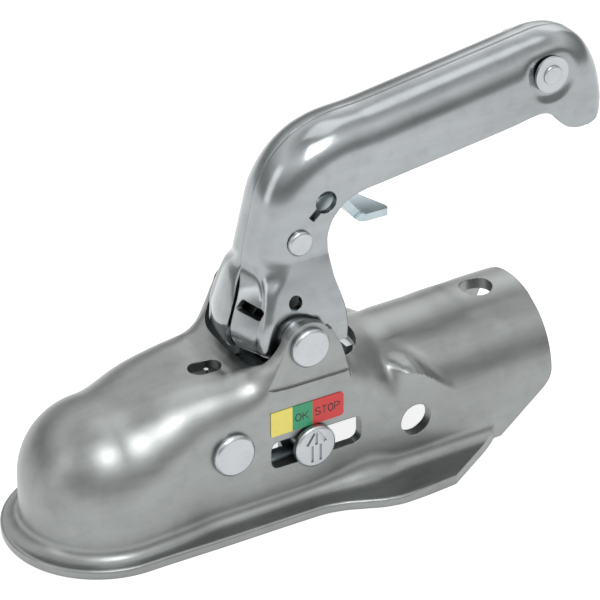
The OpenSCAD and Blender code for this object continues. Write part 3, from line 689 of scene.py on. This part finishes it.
def mix(nt, a, b, f, mode="MIX"):
    n = nt.nodes.new("ShaderNodeMix")
    n.data_type = "RGBA"; n.blend_type = mode
    for sock, v in ((n.inputs[0], f), (n.inputs[6], a), (n.inputs[7], b)):
        if hasattr(v, "is_output"):
            nt.links.new(v, sock)
        else:
            sock.default_value = v
    return n.outputs[2]


def g(v):
    return (v, v, v, 1)


def zinc(name, c0, c1, r0, r1, grain=1.0, bevel=0.0005, metal=1.0, ao_shade_levels=(0.20, 0.86)):
    m, nt, b, tc = mat(name)
    big = noise(nt, tc, 26, 3, 0.55)
    mid = noise(nt, tc, 120, 4, 0.6)
    streak = noise(nt, tc, 60, 4, 0.65, (0.35, 2.2, 2.2))
    fine = noise(nt, tc, 1500, 3, 0.7)
    tone = mix(nt, big, streak, 0.45)
    col = ramp(nt, tone, [(0.30, c0), (0.72, c1)])
    spots = ramp(nt, mid, [(0.33, g(0.86)), (0.5, g(1.0))])
    col = mix(nt, col, spots, 0.55, "MULTIPLY")
    # painted shade: the ambient occlusion multiplies the base colour darker in hollows, creases and between parts,
    # where shade falls
    ao = nt.nodes.new("ShaderNodeAmbientOcclusion")
    ao.samples = 6
    ao.inputs["Distance"].default_value = 0.016
    col = mix(nt, col, ramp(nt, ao.outputs["AO"], [(0.08, g(ao_shade_levels[0])), (0.36, g(ao_shade_levels[1])), (0.65, g(1.0))]), 1.0, "MULTIPLY")
    nt.links.new(col, b.inputs["Base Color"])
    b.inputs["Metallic"].default_value = metal
    rr = ramp(nt, mix(nt, streak, fine, 0.3), [(0.3, g(r0)), (0.75, g(r1))])
    nt.links.new(rr, b.inputs["Roughness"])
    bv = nt.nodes.new("ShaderNodeBevel")
    bv.samples = 4
    bv.inputs["Radius"].default_value = bevel
    b1 = nt.nodes.new("ShaderNodeBump")
    b1.inputs["Strength"].default_value = 0.13*grain
    b1.inputs["Distance"].default_value = 0.0004
    nt.links.new(big, b1.inputs["Height"])
    nt.links.new(bv.outputs[0], b1.inputs["Normal"])
    b2 = nt.nodes.new("ShaderNodeBump")
    b2.inputs["Strength"].default_value = 0.10*grain
    b2.inputs["Distance"].default_value = 0.00005
    nt.links.new(fine, b2.inputs["Height"])
    nt.links.new(b1.outputs[0], b2.inputs["Normal"])
    nt.links.new(b2.outputs[0], b.inputs["Normal"])
    return m


M = {}
# every zinc material below carries painted shade in its hollows from the ambient occlusion; the lever's painted
# shade is lighter
M["zinc_sheet"] = zinc("zinc_sheet", (0.215, 0.225, 0.223, 1), (0.315, 0.33, 0.322, 1), 0.32, 0.44)
M["zinc_lever"] = zinc("zinc_lever", (0.255, 0.27, 0.275, 1), (0.36, 0.38, 0.39, 1), 0.17, 0.27, ao_shade_levels=(0.35, 0.88))
M["zinc_pins"] = zinc("zinc_pins", (0.37, 0.39, 0.40, 1), (0.48, 0.50, 0.515, 1), 0.28, 0.40, 1.0, 0.0003)
M["catch_steel"] = zinc("catch_steel", (0.34, 0.41, 0.43, 1), (0.48, 0.55, 0.57, 1), 0.28, 0.40, 1.0, 0.0004)
M["spring_steel"] = zinc("spring_steel", (0.38, 0.39, 0.40, 1), (0.55, 0.56, 0.57, 1), 0.20, 0.32, 1.0, 0.0002)
M["bush_bronze"] = zinc("bush_bronze", (0.22, 0.19, 0.14, 1), (0.30, 0.26, 0.19, 1), 0.34, 0.48, 1.0, 0.0003)
M["jaw_iron"] = zinc("jaw_iron", (0.13, 0.135, 0.14, 1), (0.24, 0.25, 0.255, 1), 0.45, 0.65, 2.5, 0.0006)

# label: three fields along X with a faint print grain
m, nt, b, tc = mat("label_film")
sx = nt.nodes.new("ShaderNodeSeparateXYZ")
nt.links.new(tc.outputs["Object"], sx.inputs[0])
mr = nt.nodes.new("ShaderNodeMapRange")
mr.inputs["From Min"].default_value = 0.056
mr.inputs["From Max"].default_value = 0.087
nt.links.new(sx.outputs["X"], mr.inputs["Value"])
r = nt.nodes.new("ShaderNodeValToRGB")
r.color_ramp.interpolation = "CONSTANT"
r.color_ramp.elements[0].position, r.color_ramp.elements[0].color = 0.0, (0.60, 0.52, 0.10, 1)
r.color_ramp.elements[1].position, r.color_ramp.elements[1].color = 0.29, (0.015, 0.22, 0.10, 1)
e = r.color_ramp.elements.new(0.568); e.color = (0.46, 0.02, 0.02, 1)
nt.links.new(mr.outputs[0], r.inputs[0])
n1 = noise(nt, tc, 900, 3, 0.6)
c = mix(nt, r.outputs[0], ramp(nt, n1, [(0.3, g(0.86)), (0.65, g(1.0))]), 0.6, "MULTIPLY")
nt.links.new(c, b.inputs["Base Color"])
nt.links.new(ramp(nt, n1, [(0.3, g(0.30)), (0.7, g(0.45))]), b.inputs["Roughness"])
M["label_film"] = m
m, nt, b, tc = mat("label_ink")
n1 = noise(nt, tc, 1200, 3, 0.6)
nt.links.new(ramp(nt, n1, [(0.3, g(0.012)), (0.7, g(0.03))]), b.inputs["Base Color"])
b.inputs["Roughness"].default_value = 0.45
M["label_ink"] = m
film.data.materials.append(M["label_film"])
ink.data.materials.append(M["label_ink"])

for name, o in frame["nodes"].items():
    slot = [s["material_slot"] for s in frame["record"]["subparts"] if s["node"] == name][0]
    o.data.materials.clear()
    o.data.materials.append(M[slot])
for o in (housing,):
    o.data.materials.append(M["zinc_sheet"])
for o in (near, far):
    o.data.materials.append(M["zinc_lever"])
for nm, s in (("pivot_pin_turned", "zinc_pins"), ("jaw_pin_turned", "zinc_pins"), ("lever_rivet_turned", "zinc_pins"), ("tip_rivet_turned", "zinc_pins"),
              ("indicator_pin_turned", "zinc_pins"), ("jaw_spring_wire", "spring_steel"), ("catch_spring_wire", "spring_steel"), ("pressure_spring_wire", "spring_steel")):
    bpy.data.objects[nm].data.materials.append(M[s])

# ------------------------------------------------------------------ stage and light
fl = obj_from("floor", [(-6, -6, -0.0216), (6, -6, -0.0216), (6, 6, -0.0216), (-6, 6, -0.0216)], [[0, 1, 2, 3]])
fm, nt, b, tc = mat("floor_paper")
n1 = noise(nt, tc, 3, 2, 0.5)
nt.links.new(ramp(nt, n1, [(0.3, g(0.42)), (0.7, g(0.44))]), b.inputs["Base Color"])
b.inputs["Roughness"].default_value = 0.9
b.inputs["Specular IOR Level"].default_value = 0.1
b.inputs["Emission Color"].default_value = (1, 1, 1, 1)
b.inputs["Emission Strength"].default_value = 0.82
fl.data.materials.append(fm)

w = bpy.data.worlds.new("studio")
scene.world = w
w.use_nodes = True
nt = w.node_tree
bg = nt.nodes["Background"]
tcw = nt.nodes.new("ShaderNodeTexCoord")
sep = nt.nodes.new("ShaderNodeSeparateXYZ")
nt.links.new(tcw.outputs["Generated"], sep.inputs[0])
rw = nt.nodes.new("ShaderNodeValToRGB")
mrw = nt.nodes.new("ShaderNodeMapRange")
mrw.inputs["From Min"].default_value = -1
mrw.inputs["From Max"].default_value = 1
nt.links.new(sep.outputs["Z"], mrw.inputs["Value"])
nt.links.new(mrw.outputs[0], rw.inputs[0])
el = rw.color_ramp.elements
el[0].position, el[0].color = 0.0, g(0.9)
el[1].position, el[1].color = 1.0, g(0.6)
for pos, v in ((0.49, 0.9), (0.52, 0.78), (0.60, 0.50), (0.68, 0.62), (0.75, 1.15), (0.86, 1.75), (0.93, 1.15)):
    q = el.new(pos); q.color = g(v)
nt.links.new(rw.outputs[0], bg.inputs["Color"])
bg.inputs["Strength"].default_value = 0.8


def area(name, loc, target, size, power, sy=None):
    d = bpy.data.lights.new(name, "AREA")
    d.shape = "RECTANGLE"
    d.size, d.size_y = size, sy or size
    d.energy = power
    o = bpy.data.objects.new(name, d)
    scene.collection.objects.link(o)
    o.location = loc
    o.rotation_mode = "QUATERNION"
    o.rotation_quaternion = (Vector(target) - Vector(loc)).to_track_quat("-Z", "Y")
    return o


area("key", (-0.1, -0.85, 1.25), (0.08, 0, 0.03), 0.55, 9.0)
area("top", (0.25, 0.15, 1.4), (0.08, 0, 0.03), 0.8, 3.0)
area("left", (-1.3, 0.0, 0.55), (0.05, 0, 0.03), 0.45, 2.2, 1.0)
area("rear", (1.0, 0.9, 0.7), (0.1, 0, 0.05), 0.8, 2.2)

scene.view_settings.view_transform = "Standard"
scene.view_settings.look = "None"
